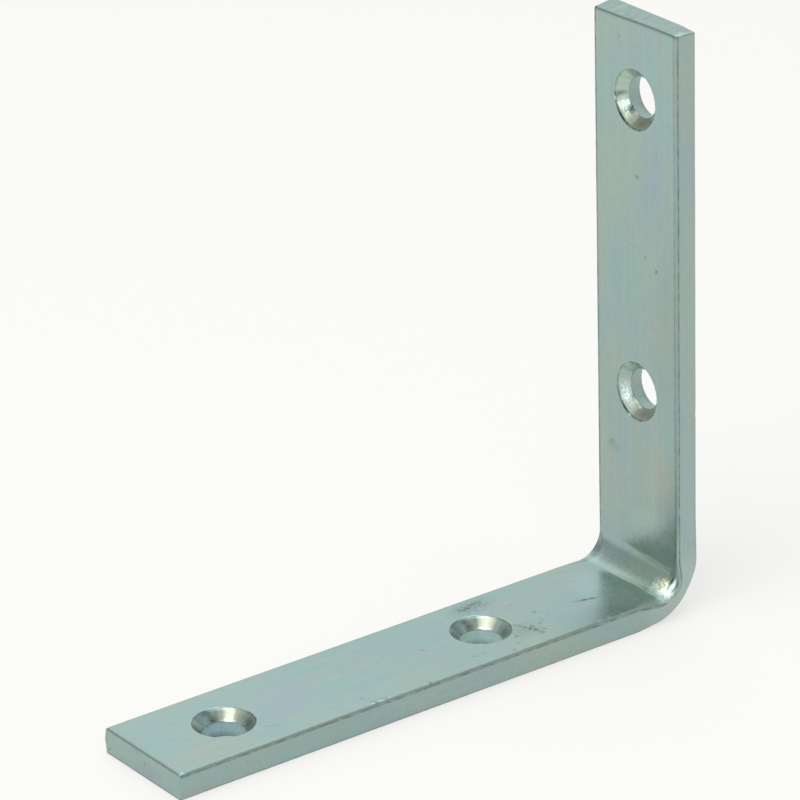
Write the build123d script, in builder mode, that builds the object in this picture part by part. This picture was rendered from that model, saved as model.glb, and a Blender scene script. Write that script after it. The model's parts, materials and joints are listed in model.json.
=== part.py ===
"""Corner brace cold bent from one flat steel strip, with two countersunk screw holes in each leg.

The strip is sheared to length, its holes are punched and countersunk, and it is bent once over
a tight radius. The lying leg runs along X with its screw face up, and the upright stands at +X.
The origin is under the middle of the lying leg, on the plane that the leg rests on. Millimetres.
"""

import os
from math import pi, sin

from build123d import *

# Flat strip, as rolled
strip_width = 20.0
strip_thickness = 4.3
rolled_edge_radius = 0.4

# Legs, measured over the outside of the bend
leg_length = 100.0
upright_height = 98.0

# Cold bend: the strip thins, and its edges swell on the inner skin and draw in on the outer one
inner_bend_radius = 4.4
bend_thinning = 0.45
inner_swell = 0.9
outer_draw = 0.35
swollen_edge_radius = 1.6
bend_run_out = 3.5

# Sheared ends
sheared_edge_radius = 0.2

# Screw holes: the near one is placed from the outer corner of the bend, the far one from the end
near_hole_distance = 36.0
leg_end_to_far_hole = 15.0
upright_end_to_far_hole = 13.0
bore_diameter = 6.6
countersink_diameter = 9.9
countersink_angle = 90.0
countersink_rim_radius = 0.4
breakout_depth = 1.1
breakout_growth = 0.45

# Worked out from the sizes above
half_width = strip_width / 2
half_thickness = strip_thickness / 2
back_x = leg_length / 2
bend_reach = strip_thickness + inner_bend_radius
bend_start_x = back_x - bend_reach
run_start_x = bend_start_x - bend_run_out
run_end_z = bend_reach + bend_run_out
mid_radius = inner_bend_radius + half_thickness
leg_end_x = back_x - leg_length
bore_radius = bore_diameter / 2
countersink_radius = countersink_diameter / 2
leg_hole_distances = (near_hole_distance, leg_length - leg_end_to_far_hole)
upright_hole_distances = (near_hole_distance, upright_height - upright_end_to_far_hole)

# The distortion of the bend grows along the strip as a sine, from no share where it starts in
# the flat leg, through the tangent of the bend, to its full share in the middle of the bend
half_arc = mid_radius * pi / 4
share_at_tangent = sin(pi / 2 * bend_run_out / (bend_run_out + half_arc))

# The middle line of the strip round the bend, in the upright plane through the origin
with BuildLine(Plane.XZ) as bend_path:
    Line((run_start_x, half_thickness), (bend_start_x, half_thickness))
    JernArc((bend_start_x, half_thickness), (1, 0), mid_radius, arc_size=90)
    Line((back_x - half_thickness, bend_reach), (back_x - half_thickness, run_end_z))


def strip_section(share):
    """Return the strip's rounded cross-section as a sketch, with local +Y on the inner skin.

    share is how much of the bend's distortion the section has taken: 0 on the flat, 1 in the
    middle of the bend, where the rectangle has become a keystone.
    """
    inner_half = half_width + share * inner_swell
    outer_half = half_width - share * outer_draw
    outer_y = share * bend_thinning - half_thickness
    inner_round = rolled_edge_radius + share * (swollen_edge_radius - rolled_edge_radius)
    with BuildSketch() as section:
        with BuildLine():
            Polyline(
                (-outer_half, outer_y),
                (outer_half, outer_y),
                (inner_half, half_thickness),
                (-inner_half, half_thickness),
                close=True,
            )
        make_face()
        inner_corners = section.vertices().group_by(Axis.Y)[-1]
        fillet(inner_corners, inner_round)
        outer_corners = section.vertices().group_by(Axis.Y)[0]
        fillet(outer_corners, rolled_edge_radius)
    return section.sketch


def section_plane(origin, direction):
    """Plane across the strip at a point of its middle line, with local X across the width."""
    return Plane(origin=origin, x_dir=(0, 1, 0), z_dir=direction)


bend_centre = Vector(bend_start_x, 0, bend_reach)
bend_middle = bend_centre + Vector(1, 0, -1).normalized() * mid_radius
leg_run_plane = section_plane((run_start_x, 0, half_thickness), (1, 0, 0))
leg_tangent_plane = section_plane((bend_start_x, 0, half_thickness), (1, 0, 0))
bend_middle_plane = section_plane(bend_middle, (1, 0, 1))
upright_tangent_plane = section_plane((back_x - half_thickness, 0, bend_reach), (0, 0, 1))
upright_run_plane = section_plane((back_x - half_thickness, 0, run_end_z), (0, 0, 1))

leg_hole_planes = [
    Plane(origin=(back_x - distance, 0, strip_thickness)) for distance in leg_hole_distances
]
upright_hole_planes = [
    Plane(origin=(back_x - strip_thickness, 0, distance), z_dir=(-1, 0, 0))
    for distance in upright_hole_distances
]

with BuildPart() as corner_brace:
    # The bend, swept through five sections from flat strip to keystone and back
    with BuildSketch(leg_run_plane):
        add(strip_section(0))
    with BuildSketch(leg_tangent_plane):
        add(strip_section(share_at_tangent))
    with BuildSketch(bend_middle_plane):
        add(strip_section(1))
    with BuildSketch(upright_tangent_plane):
        add(strip_section(share_at_tangent))
    with BuildSketch(upright_run_plane):
        add(strip_section(0))
    sweep(path=bend_path.wire(), multisection=True)

    # The two flat legs
    with BuildSketch(leg_run_plane):
        add(strip_section(0))
    extrude(amount=leg_end_x - run_start_x)
    with BuildSketch(upright_run_plane):
        add(strip_section(0))
    extrude(amount=upright_height - run_end_z)

    # Shearing rolls the edges of both ends over a little
    sheared_ends = [faces().sort_by(Axis.X)[0], faces().sort_by(Axis.Z)[-1]]
    fillet([edge for end in sheared_ends for edge in end.edges()], sheared_edge_radius)

    # Countersunk screw holes, sunk from the inner faces of the two legs
    with Locations(*leg_hole_planes, *upright_hole_planes):
        CounterSinkHole(
            radius=bore_radius,
            counter_sink_radius=countersink_radius,
            depth=strip_thickness,
            counter_sink_angle=countersink_angle,
        )
        # The punch broke out of the far face, so the bore flares there
        with Locations(Plane.XY.offset(-strip_thickness)):
            Cone(
                bottom_radius=bore_radius + breakout_growth,
                top_radius=bore_radius,
                height=breakout_depth,
                align=(Align.CENTER, Align.CENTER, Align.MIN),
                mode=Mode.SUBTRACT,
            )
    rims = edges().filter_by(GeomType.CIRCLE).filter_by(lambda rim: rim.radius == countersink_radius)
    fillet(rims, countersink_rim_radius)

corner_brace.part.label = "corner_brace"

os.makedirs("parts", exist_ok=True)
export_step(corner_brace.part, "parts/corner_brace.step")
print("solids:", len(corner_brace.part.solids()), "size:", corner_brace.part.bounding_box().size)
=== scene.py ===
# %% [markdown]
# # A bent corner brace of zinc-plated steel strip
#
# The real brace is one length of flat steel. It is rolled, sheared off, punched, countersunk, bent
# once in a press and then zinc plated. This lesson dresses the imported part: the camera and the light
# come first, then the skin of the strip with everything that the tools left on it, and last the
# plating.
#
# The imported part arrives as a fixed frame, and nothing in it is moved. The main sizes below are read
# from it or are the driving sizes that the part itself was built from. The others belong to the finer
# form of the skin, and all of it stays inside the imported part's box.

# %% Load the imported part
import json
from math import pi, radians

import bmesh
import bpy
import numpy as np
from mathutils import Euler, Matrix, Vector


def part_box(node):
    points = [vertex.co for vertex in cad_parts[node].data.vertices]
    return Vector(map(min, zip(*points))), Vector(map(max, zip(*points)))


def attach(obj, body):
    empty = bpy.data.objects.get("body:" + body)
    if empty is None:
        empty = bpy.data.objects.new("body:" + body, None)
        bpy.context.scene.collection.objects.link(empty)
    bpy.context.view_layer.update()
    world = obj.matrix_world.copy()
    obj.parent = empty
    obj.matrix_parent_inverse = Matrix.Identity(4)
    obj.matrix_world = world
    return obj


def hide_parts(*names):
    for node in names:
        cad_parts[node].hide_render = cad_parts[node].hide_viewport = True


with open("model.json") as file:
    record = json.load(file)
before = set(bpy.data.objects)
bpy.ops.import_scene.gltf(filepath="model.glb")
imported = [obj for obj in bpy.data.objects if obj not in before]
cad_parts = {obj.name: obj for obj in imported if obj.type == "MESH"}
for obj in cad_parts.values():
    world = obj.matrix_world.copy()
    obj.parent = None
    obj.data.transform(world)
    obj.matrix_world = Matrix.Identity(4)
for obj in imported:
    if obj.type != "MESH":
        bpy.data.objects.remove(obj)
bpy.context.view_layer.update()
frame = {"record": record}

MM = 0.001
scene = bpy.context.scene

# %% [markdown]
# ## The camera
#
# The picture was taken from the front left, 24 degrees above the floor, with a long lens. The place
# and the turn below were fitted to the corners and the hole rims of the brace, so the camera needs
# no shift. A long lens far away keeps the two legs nearly free of perspective.

# %% Camera
camera_place = (-0.42711, -0.58703, 0.3727)
camera_turn = (radians(65.873), radians(1.433), radians(-36.66))
camera_lens = 236.09


def add_to_scene(name, data):
    """Wrap data in an object of that name and link it to the scene."""
    made = bpy.data.objects.new(name, data)
    scene.collection.objects.link(made)
    return made


camera = add_to_scene("photo_camera", bpy.data.cameras.new("photo_camera"))
camera.location = camera_place
camera.rotation_euler = Euler(camera_turn)
camera.data.lens = camera_lens
camera.data.clip_start = 0.05
camera.data.clip_end = 20.0
scene.camera = camera
scene.view_settings.view_transform = "Standard"
print("camera", round(camera.location.length, 3), "m from the origin, lens", camera_lens, "mm")

# %% [markdown]
# ## Building node trees
#
# Each material below is a small tree of nodes. Writing a tree by hand takes three lines for every
# node, so one helper adds a node, sets it up and wires it in a single call. Sums need a node each as
# well, and long rows of them are hard to read. So a field wraps a socket, a number that changes from
# place to place, and turns a plain formula such as tone * (1 - shade) into Math nodes.

# %% Helpers for node trees


def put(tree, kind, inputs=None, **settings):
    """Add a node; each named input takes a value, or a link where a field or a socket is given."""
    made = tree.nodes.new("ShaderNode" + kind)
    for name, value in settings.items():
        setattr(made, name, value)
    for name, value in (inputs or {}).items():
        value = value.socket if isinstance(value, Field) else value
        if isinstance(value, bpy.types.NodeSocket):
            tree.links.new(value, made.inputs[name])
        else:
            made.inputs[name].default_value = value
    return made


class Field:
    """A number that changes from place to place: a socket of a tree, ready for formulas."""

    def __init__(self, tree, socket):
        self.tree = tree
        self.socket = socket

    def sums(self, operation, *numbers):
        """Return the result of one Math node on the given numbers and fields."""
        made = put(self.tree, "Math", dict(enumerate(numbers)), operation=operation)
        return Field(self.tree, made.outputs[0])

    def __add__(self, other):
        return self.sums("ADD", self, other)

    def __sub__(self, other):
        return self.sums("SUBTRACT", self, other)

    def __rsub__(self, other):
        return self.sums("SUBTRACT", other, self)

    def __mul__(self, other):
        return self.sums("MULTIPLY", self, other)

    def __abs__(self):
        return self.sums("ABSOLUTE", self)

    __radd__ = __add__
    __rmul__ = __mul__

    def arccosine(self):
        """Return the angle, in radians, whose cosine the field holds."""
        return self.sums("ARCCOSINE", self)

    def at_most(self, limit):
        """Return the smaller of the field and the limit."""
        return self.sums("MINIMUM", self, limit)

    def at_least(self, limit):
        """Return the larger of the field and the limit."""
        return self.sums("MAXIMUM", self, limit)

    def ease(self, start, end, low=0.0, high=1.0):
        """Return low before start and high after end, with a smooth S-curve between them."""
        limits = {"Value": self, "From Min": start, "From Max": end, "To Min": low, "To Max": high}
        made = put(self.tree, "MapRange", limits, interpolation_type="SMOOTHSTEP")
        return Field(self.tree, made.outputs["Result"])

    def near(self, centre, half):
        """Return 1 where the field is at the centre, falling to 0 half a width away on both sides."""
        return abs(self - centre).ease(0.0, half, 1.0, 0.0)


def parts_of(tree, place):
    """Return the x, the y and the z of a place as three fields."""
    return [Field(tree, part) for part in put(tree, "SeparateXYZ", {"Vector": place}).outputs]


def own_place(tree):
    """Return the place in the object's own space, in metres."""
    return put(tree, "TexCoord").outputs["Object"]


def blend(tree, factor, first, second):
    """Return the colour of one Mix node; first and second are colours or sockets."""
    return put(tree, "Mix", {0: factor, 6: first, 7: second}, data_type="RGBA").outputs[2]


print("helpers for trees:", [helper.__name__ for helper in (put, Field, parts_of, own_place, blend)])


# %% [markdown]
# ## The floor
#
# The brace lies on a plain pale ground. One large square does it. Its top is the plane z = 0, which
# the lying leg rests on. The paint is dull white, which keeps the soft shadow of the brace. A share of
# plain white is mixed in for the rays that come from the camera and from the mirroring metal, so the
# ground looks nearly white without any more light on the brace. Under the leg the ground is seen only
# through the bores. There the paint is darker, a painted shade under the leg, with no share of white.

# %% Floor
floor_reach = 3.0
floor_colour = (0.93, 0.92, 0.91, 1)
floor_white = (1.0, 0.993, 0.982, 1)
painted_shade_under_the_leg = (0.74, 0.82, 0.82, 1)
floor_white_share = 0.6
gap_middle_x = -0.0045
gap_half_length = (0.0436, 0.0452)
gap_half_width = (0.0086, 0.0098)
floor_mesh = bpy.data.meshes.new("floor")
floor_corners = [(x * floor_reach, y * floor_reach, 0) for x, y in ((-1, -1), (1, -1), (1, 1), (-1, 1))]
floor_mesh.from_pydata(floor_corners, [], [(0, 1, 2, 3)])
floor = add_to_scene("floor", floor_mesh)

floor_paint = bpy.data.materials.new("floor_paint")
floor_paint.use_nodes = True
floor_mesh.materials.append(floor_paint)
paint_tree = floor_paint.node_tree
paint = paint_tree.nodes["Principled BSDF"]
paint.inputs["Roughness"].default_value = 0.95
paint.inputs["Specular IOR Level"].default_value = 0.0
floor_x, floor_y, _ = parts_of(paint_tree, own_place(paint_tree))
beside = abs(floor_y).ease(*gap_half_width)
beyond_end = abs(floor_x - gap_middle_x).ease(*gap_half_length)
open_floor = beside.at_least(beyond_end)
# Painted shade: the ground under the lying leg is painted darker.
paint_colour = blend(paint_tree, open_floor, painted_shade_under_the_leg, floor_colour)
paint_tree.links.new(paint_colour, paint.inputs["Base Color"])
rays = put(paint_tree, "LightPath").outputs
seen = Field(paint_tree, rays["Is Camera Ray"]).at_least(rays["Is Glossy Ray"])
seen = seen.at_least(rays["Is Transmission Ray"])
white = put(paint_tree, "Emission", {"Color": floor_white, "Strength": 1.0}).outputs["Emission"]
white_share = seen * floor_white_share * open_floor
mixed = put(paint_tree, "MixShader", {0: white_share, 1: paint.outputs["BSDF"], 2: white})
paint_tree.links.new(mixed.outputs["Shader"], paint_tree.nodes["Material Output"].inputs["Surface"])
print("floor", 2 * floor_reach, "m wide")

# %% [markdown]
# ## The room
#
# Plated metal has little colour of its own: it shows the room. In the picture the top of the lying
# leg mirrors a bright wall behind it on the right, while the rolled edge and the inside of the bend
# mirror darker parts of the room. The world is therefore a dim plain sky with a few soft patches.
# Each patch is a direction and two angles: its full level holds inside the first one, and it has
# faded out at the second one.

# %% World
sky_colour = (0.52, 0.54, 0.53, 1)
room_patches = {
    "haze_on_the_left": ((-0.70, 0.06, 0.71), 8.0, 27.0, (1.00, 0.97, 0.84, 1)),
    "haze_overhead": ((-0.39, 0.09, 0.92), 6.0, 18.0, (2.00, 2.00, 1.85, 1)),
    "ceiling_behind": ((0.36, 0.46, 0.81), 14.0, 40.0, (1.00, 1.02, 0.92, 1)),
    "bright_wall_behind_right": ((0.54, 0.74, 0.42), 14.0, 36.0, (0.95, 1.03, 1.06, 1)),
}
world = bpy.data.worlds.new("studio")
scene.world = world
world.use_nodes = True
room = world.node_tree
direction = put(room, "TexCoord").outputs["Generated"]
room_colour = sky_colour
for patch_name, (towards, core, rim, colour) in room_patches.items():
    unit = Vector(towards).normalized()
    aligned = put(room, "VectorMath", {0: direction, 1: unit}, operation="DOT_PRODUCT", label=patch_name)
    angle = Field(room, aligned.outputs["Value"]).at_most(1.0).arccosine()
    share = angle.ease(radians(core), radians(rim), 1.0, 0.0)
    room_colour = blend(room, share, room_colour, colour)
room.links.new(room_colour, room.nodes["Background"].inputs["Color"])
print("sky with", len(room_patches), "soft patches")

# %% [markdown]
# ## The lamps
#
# Two softboxes draw the highlights. One hangs above the brace on the left: the countersinks and the
# swollen corner of the bend show it as white streaks. A smaller one stands low on the left. A third
# lamp is a wide overhead fill. It lights the ground and the milky part of the plating softly, and the
# metal doesn't mirror it, so it adds no highlight of its own. Each lamp is a direction from the brace,
# a distance, two sizes, a power and a colour.

# %% Lamps
lamps = {
    "softbox_above": ((-0.44, -0.20, 0.88), 1.1, (0.56, 0.44), 1.8, (1.0, 0.98, 0.92)),
    "softbox_low_left": ((-0.80, -0.50, 0.36), 1.2, (0.40, 0.40), 0.90, (1.0, 0.99, 0.97)),
    "overhead_fill": ((-0.15, -0.10, 1.00), 1.8, (1.70, 1.70), 6.5, (1.0, 1.0, 1.0)),
}
for lamp_name, (towards, distance, size, power, colour) in lamps.items():
    lamp_data = bpy.data.lights.new(lamp_name, "AREA")
    lamp_data.shape = "RECTANGLE"
    lamp_data.size, lamp_data.size_y = size
    lamp_data.energy = power
    lamp_data.color = colour
    lamp = add_to_scene(lamp_name, lamp_data)
    unit = Vector(towards).normalized()
    lamp.location = unit * distance
    lamp.rotation_euler = unit.to_track_quat("Z", "Y").to_euler()
    lamp.visible_glossy = lamp_name != "overhead_fill"
    print(lamp_name, size, "m,", power, "W")

# %% [markdown]
# ## The sizes of the strip
#
# From here on lengths are in millimetres, as on a drawing of the part, and they become metres only
# when a mesh is made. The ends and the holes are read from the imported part. The strip and the bend
# repeat the part's own driving sizes. Three sizes are the skin's own: how far its lip swells, and how
# round its outer edges are on the leg and on the upright.

# %% Sizes
strip_width = 20.0
strip_thickness = 4.3
rolled_edge_radius = 0.4
inner_bend_radius = 4.4
bend_thinning = 0.45
outer_draw = 0.35
inner_swell = 0.5
leg_outer_radius = 0.25
upright_outer_radius = 0.8
bend_run_out = 3.5
countersink_diameter = 9.9
countersink_rim_radius = 0.4
breakout_depth = 1.1
breakout_growth = 0.45

low_corner, high_corner = [np.array(corner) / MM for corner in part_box("corner_brace")]
leg_end_x, back_x, upright_top_z = low_corner[0], high_corner[0], high_corner[2]
half_width = strip_width / 2
half_thickness = strip_thickness / 2
bend_reach = strip_thickness + inner_bend_radius
mid_radius = inner_bend_radius + half_thickness
bend_start = back_x - bend_reach - leg_end_x
bend_end = bend_start + mid_radius * pi / 2
strip_length = bend_end + upright_top_z - bend_reach

hole_places = []
for mount in frame["record"]["mounts"]:
    if mount["kind"] == "bore":
        mount_x, _, mount_z = np.array(mount["pos_m"]) / MM
        lying = abs(mount["axis"][2]) > 0.5
        hole_places.append(mount_x - leg_end_x if lying else bend_end + mount_z - bend_reach)
        bore_radius = mount["dims"]["r_mm"]
hole_places.sort()
print("strip", round(strip_length, 2), "mm long, holes at", np.round(hole_places, 2))

# %% [markdown]
# ## From the flat strip to the bent one
#
# Think of the strip before it is bent. A place on it has three numbers: s along its middle line from
# the end of the lying leg, w across it, and h up from its middle towards the screw face. One formula
# bends it. The turn grows from nothing to a quarter circle while s runs through the bend, and before
# and after it the strip just goes straight on. Everything else is then made on the flat strip.

# %% Bending formula


def bent(s, w, h):
    """Turn places on the flat strip into places in the part, in mm.

    turn = how far round the bend s has come, held between 0 and a quarter circle.
    x = end of the leg + the straight part passed + (radius of the middle line - h) * sin(turn).
    z = reach of the bend - (radius of the middle line - h) * cos(turn) + what is left of s.
    """
    s, w, h = np.broadcast_arrays(s, w, h)
    turn = np.clip((s - bend_start) / mid_radius, 0.0, pi / 2)
    x = leg_end_x + np.minimum(s, bend_start) + (mid_radius - h) * np.sin(turn)
    z = bend_reach - (mid_radius - h) * np.cos(turn) + np.maximum(s - bend_end, 0.0)
    return np.stack([x, w, z], axis=-1)


print("end of the upright:", np.round(bent(strip_length, 0.0, 0.0), 3))

# %% [markdown]
# ## Chance that repeats
#
# No real surface is even, but a lesson must give the same brace each time. These helpers draw their
# random values from a numbered seed and join them with smooth curves.

# %% Smooth noise


def smooth_step(t):
    """Return 0 below 0 and 1 above 1, joined by 3 t squared - 2 t cubed."""
    t = np.clip(t, 0.0, 1.0)
    return t * t * (3 - 2 * t)


def mottle(u, v, pitch_u, pitch_v, seed):
    """Smooth noise from -1 to 1: a table of random values, one for each pitch, blended smoothly."""
    table = np.random.default_rng(seed).uniform(-1, 1, (64, 64))
    u, v = np.broadcast_arrays(np.asarray(u) / pitch_u, np.asarray(v) / pitch_v)
    col, row = np.floor(u).astype(int), np.floor(v).astype(int)
    across, down = smooth_step(u - col), smooth_step(v - row)
    near = table[row % 64, col % 64] * (1 - across) + table[row % 64, (col + 1) % 64] * across
    far = table[(row + 1) % 64, col % 64] * (1 - across) + table[(row + 1) % 64, (col + 1) % 64] * across
    return near * (1 - down) + far * down


def bump_at(t, centre, half):
    """A smooth bump, 1 at the centre and 0 from half a width away on."""
    return smooth_step(1 - np.abs(t - centre) / half)


print("sample of noise:", np.round(mottle(np.arange(4) * 3.3, 0.0, 4.0, 1.0, 7), 3))

# %% [markdown]
# ## The section of the strip
#
# Cut across, flat strip is a rectangle with rolled corners. In the bend it turns into a keystone:
# the inner skin is squeezed, so it swells out sideways and its edge becomes a broad leaning lip, while
# the outer skin is stretched, so it draws in and the strip gets thinner. One function gives the
# section for any share of that distortion, as a loop of points with their outward normals. The lip
# is a wide arc, and a tight arc takes it on down to the leaning side without a kink.

# %% Section
rounding = 1e-9
tolerance = 1e-6
patch_half = 7.5
patch_cells = 30
face_end = half_width - rolled_edge_radius
margin_columns = np.linspace(patch_half, face_end, 6)[1:]
patch_columns = np.linspace(-patch_half, patch_half, patch_cells + 1)
face_columns = np.concatenate([-margin_columns[::-1], patch_columns, margin_columns])
lip_steps = 10
corner_steps = 6
side_steps = 8
lip_radius = 5.0
lip_corner_radius = 0.45
lip_tilt = radians(34.0)
far_lip_tilt = radians(22.0)
glint_tilt = radians(7.0)
glint_place = (56.0, 17.0)


def arc_points(centre_w, centre_h, radius, first, last, count):
    """Points of an arc, centre + radius * (sin turn, cos turn), and their normals (sin, cos)."""
    turn = first + (last - first) * np.linspace(0, 1, count + 1)
    normal = np.stack([np.sin(turn), np.cos(turn)], axis=-1)
    centre = np.stack(np.broadcast_arrays(centre_w, centre_h), axis=-1)
    return centre + np.asarray(radius)[..., None] * normal, normal


def corner_and_side(share, tilt, outer_round):
    """Half of the loop, on the side of +w: lip, inner corner, side and outer corner, for each station.

    The side leans by the angle whose tangent is (swell + draw) / height. The tight arc touches it, so
    its centre lies radius / cos(lean) in from the side. The wide arc ends where the tight one begins,
    so its centre is moved by the difference of the radii, against the normal that they share.
    """
    inner_half = half_width + share * inner_swell
    outer_half = half_width - share * outer_draw
    outer_h = share * bend_thinning - half_thickness
    slant = (inner_half - outer_half) / (half_thickness - outer_h)
    lean = np.arctan(slant)
    wide = rolled_edge_radius + share * (lip_radius - rolled_edge_radius)
    tight = rolled_edge_radius + share * (lip_corner_radius - rolled_edge_radius)
    tight_h = half_thickness - wide + (wide - tight) * np.cos(tilt)
    tight_w = outer_half + (tight_h - outer_h) * slant - tight / np.cos(lean)
    wide_w = tight_w - (wide - tight) * np.sin(tilt)
    outer_centre_h = outer_h + outer_round
    outer_w = outer_half + outer_round * slant - outer_round / np.cos(lean)
    square_off = pi / 2 + lean
    lip, lip_normal = arc_points(wide_w, half_thickness - wide, wide, 0 * tilt, tilt, lip_steps)
    inner, inner_normal = arc_points(tight_w, tight_h, tight, tilt, square_off, corner_steps)
    outer, outer_normal = arc_points(outer_w, outer_centre_h, outer_round, square_off, pi, lip_steps)
    along = np.linspace(0, 1, side_steps + 1)[1:-1, None]
    side = inner[:, -1:] * (1 - along) + outer[:, :1] * along
    side_normal = np.broadcast_to(inner_normal[:, -1:], side.shape)
    points = [lip, inner[:, 1:], side, outer]
    normals = [lip_normal, inner_normal[:, 1:], side_normal, outer_normal]
    return np.concatenate(points, 1), np.concatenate(normals, 1)


def section_loop(share, tilt, far_tilt, outer_round):
    """The whole loop and its normals for each station, starting in the middle of the outer face.

    It runs over the outer face to -w, up that side, over the inner face to +w, down the other side
    and back over the outer face, so the seam of the loop lies where nobody looks. On the outer face
    only the columns beyond the squares of the holes move with the edge. tilt is how far the lip of
    the near side turns down, and far_tilt that of the far side, which the press crushed less.
    """
    right, right_normal = corner_and_side(share[:, None], far_tilt[:, None], outer_round[:, None])
    near, near_normal = corner_and_side(share[:, None], tilt[:, None], outer_round[:, None])
    flip = np.array([-1.0, 1.0])
    left, left_normal = (near * flip)[:, ::-1], (near_normal * flip)[:, ::-1]
    columns = face_columns[1:-1]
    inner_w = np.where(columns > 0, right[:, :1, 0], near[:, :1, 0]) * columns / face_end
    beyond = np.clip((np.abs(columns) - patch_half) / (face_end - patch_half), 0, 1)
    outer_w = -columns - np.sign(columns) * beyond * (right[:, -1:, 0] - face_end)
    inner = np.stack([inner_w, np.broadcast_to(right[:, :1, 1], inner_w.shape)], -1)
    outer = np.stack([outer_w, np.broadcast_to(right[:, -1:, 1], outer_w.shape)], -1)
    up, down = np.broadcast_to([0.0, 1.0], inner.shape), np.broadcast_to([0.0, -1.0], outer.shape)
    middle = len(columns) // 2
    points = [outer[:, middle:], left, inner, right, outer[:, :middle]]
    normals = [down[:, middle:], left_normal, up, right_normal, down[:, :middle]]
    return np.concatenate(points, 1), np.concatenate(normals, 1)


flat_values = [np.array([value]) for value in (0.0, lip_tilt, far_lip_tilt, rolled_edge_radius)]
flat_loop = section_loop(*flat_values)[0][0]
loop_size = len(flat_loop)
loop_steps = np.linalg.norm(np.roll(flat_loop, -1, axis=0) - flat_loop, axis=1)
girth = loop_steps.sum()
# The developed width is w on the inner face and goes on round both sides to the seam
developed = np.concatenate([[0.0], np.cumsum(loop_steps)]) - girth / 2
print("section of", loop_size, "points,", round(girth, 2), "mm round")

# %% [markdown]
# ## What the tools left on the strip
#
# Seen close, the brace is a record of how it was made. Rolling left long shallow waves. The shear
# rolled the top edge of each end over and broke the rest of the cut off rough. The press pushed a
# blunt nose into the bend, and where its flank stopped there is a crisp ridge across the strip, with
# a shallow groove below it on the lying leg. All of it is real relief, given in millimetres along
# the surface's own normal, so it is part of the mesh itself.

# %% Relief
bend_middle = (bend_start + bend_end) / 2
rolling_wave = 0.012
fine_ripple = 0.003
orange_peel_depth = 0.02
press_wander = 1.6
# A mark of the press is its middle and half its width, in degrees of the bend, and its height in mm
press_ridge = (38.0, 3.4, 0.034)
press_flank_end = (79.0, 6.0, 0.014)
press_groove = (13.0, 4.2, 0.03)
outer_flat_spot = (66.0, 26.0, 0.2)
# The shear rolls the edge of the screw face over by a depth within a reach
shear_rollover = (0.12, 1.0)
cut_lean_of_leg = 0.1
cut_lean_of_upright = 0.42
knocked_corner = 0.25
dropped_corner = 0.2
corner_dent = 0.16
upright_recess = 0.2
strained_reach = 7.0
rolled_unevenness = 0.03
far_side_recess = 0.10
nick_depth = 0.06


def bend_angle(s):
    """Degrees round the bend: 0 where the lying leg ends and 90 where the upright begins."""
    return np.degrees((s - bend_start) / mid_radius)


def inner_relief(s, w):
    """Height of the screw face above its ideal shape: waves, marks of the press, rolled-over ends."""
    waves = rolling_wave * mottle(s, w, 11.0, 6.0, 11) + fine_ripple * mottle(s, w, 2.6, 1.7, 12)
    wavering = bend_angle(s) + press_wander * mottle(w, 0.0, 3.0, 1.0, 13)
    crumbs = 0.6 + 0.4 * mottle(w, s, 1.1, 0.5, 14)
    centre, half, height = press_ridge
    ridge = height * crumbs * bump_at(wavering, centre, half)
    centre, half, height = press_flank_end
    flank = height * bump_at(wavering, centre, half)
    centre, half, depth = press_groove
    groove = -depth * bump_at(wavering, centre, half) * smooth_step((7.0 - w) / 5.0)
    depth, reach = shear_rollover
    to_end = np.minimum(s, strip_length - s)
    rollover = -depth * smooth_step(1 - to_end / reach) ** 2
    return waves + ridge + flank + groove + rollover


def outer_relief(s, w):
    """Height of the outer skin against its ideal shape: never above it, because it rests there."""
    waves = rolling_wave * (mottle(s, w, 9.0, 6.0, 21) - 1)
    waves = waves + fine_ripple * (mottle(s, w, 2.4, 1.6, 22) - 1)
    strained = bump_at(s, bend_middle, strained_reach)
    orange_peel = orange_peel_depth * strained * (mottle(s, w, 0.9, 0.7, 23) - 1)
    recess = upright_recess * smooth_step((s - bend_end) / 8.0)
    centre, half, depth = outer_flat_spot
    flat_spot = depth * bump_at(bend_angle(s), centre, half)
    return waves + orange_peel - recess - flat_spot


def edge_relief(s, v):
    """Unevenness of the rolled sides and their corners, with small nicks. The far side lies deeper."""
    rolled = rolled_unevenness * mottle(s, v, 7.0, 2.2, 31) + 0.005 * mottle(s, v, 4.0, 0.6, 32)
    rolled = rolled - rolled_unevenness
    far_side = -far_side_recess * smooth_step(v)
    nick = smooth_step((mottle(s, v, 1.9, 0.9, 33) - 0.72) / 0.2)
    return rolled + far_side - nick_depth * nick


def leg_setback(w, h):
    """How far the leg's cut lies behind the ideal end: it leans back a little towards the top.

    The lean is a smooth step over the height. The near top corner is knocked off over a short reach.
    """
    leaning = cut_lean_of_leg * smooth_step((h + 1.4) / 3.5)
    corner = knocked_corner * smooth_step(-w - 9.0) ** 2 * smooth_step((h + 0.5) / 1.5)
    return leaning + corner + cut_grain(w, h)


def upright_setback(w, h):
    """How far the upright's cut lies below the ideal top: skewed across, near back corner dropped.

    The skew grows to the far inner corner. The near back corner sinks over the last quarter of the
    width, and the near inner corner carries one small dent.
    """
    skew = cut_lean_of_upright * smooth_step((w + 8.0) / 18.0) * smooth_step((h + 1.6) / 3.7)
    dropped = dropped_corner * smooth_step((-w - 6.2) / 3.4) * smooth_step((0.6 - h) / 2.4)
    dent = corner_dent * smooth_step((-w - 8.8) / 1.1) * bump_at(h, 1.1, 1.2)
    return skew + dropped + dent + cut_grain(w, h)


def cut_grain(w, h):
    """Fine unevenness of a sheared cut: streaks down the cut and broad dents."""
    return 0.012 * (1 + mottle(w, h, 0.6, 2.4, 41)) + 0.015 * (1 + mottle(w, h, 2.5, 1.2, 42))


print("press ridge at", press_ridge[0], "degrees of the bend, groove at", press_groove[0])

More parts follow.
